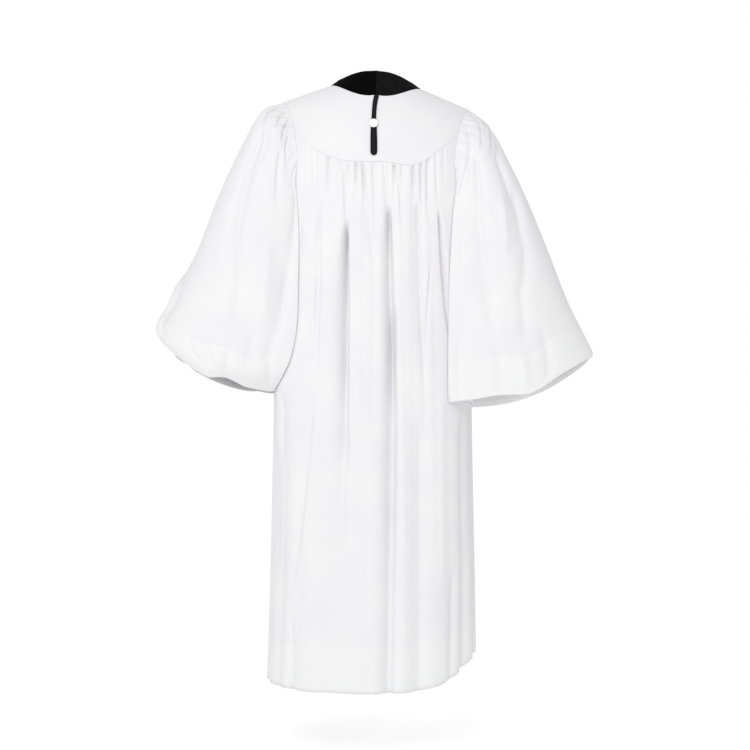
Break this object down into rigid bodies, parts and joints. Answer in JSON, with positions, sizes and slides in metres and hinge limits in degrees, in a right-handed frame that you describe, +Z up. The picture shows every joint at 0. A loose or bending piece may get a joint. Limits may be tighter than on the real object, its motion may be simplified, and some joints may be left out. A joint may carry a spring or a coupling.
{
  "type": "pulpit robe",
  "caption": "White pulpit robe in its worn, hollow form, with a fluted body hung from a smooth yoke, full bell sleeves and a black velvet neckband.",
  "frame": {"origin": "centre of the neck opening, level with the sides of the neck, where the shoulders hold the robe up", "axes": "+Z up, -Y out of the front, +Y out of the back that the picture shows, +X to the wearer's left"},
  "size_m": [0.998, 0.3841, 1.3779],
  "materials": {
    "white_polyester": "matte",
    "black_velvet": "velvet pile",
    "black_braid": "woven braid",
    "white_resin": "satin"
  },
  "bodies": {
    "root": {"back_yoke": "white_polyester", "front_yoke_left": "white_polyester", "front_yoke_right": "white_polyester", "back_panel": "white_polyester", "front_left": "white_polyester", "front_right": "white_polyester", "sleeve_left": "white_polyester", "sleeve_right": "white_polyester", "neckband_left": "black_velvet", "neckband_right": "black_velvet", "hood_strap": "black_braid", "hood_button": "white_resin"}
  },
  "joints": []
}
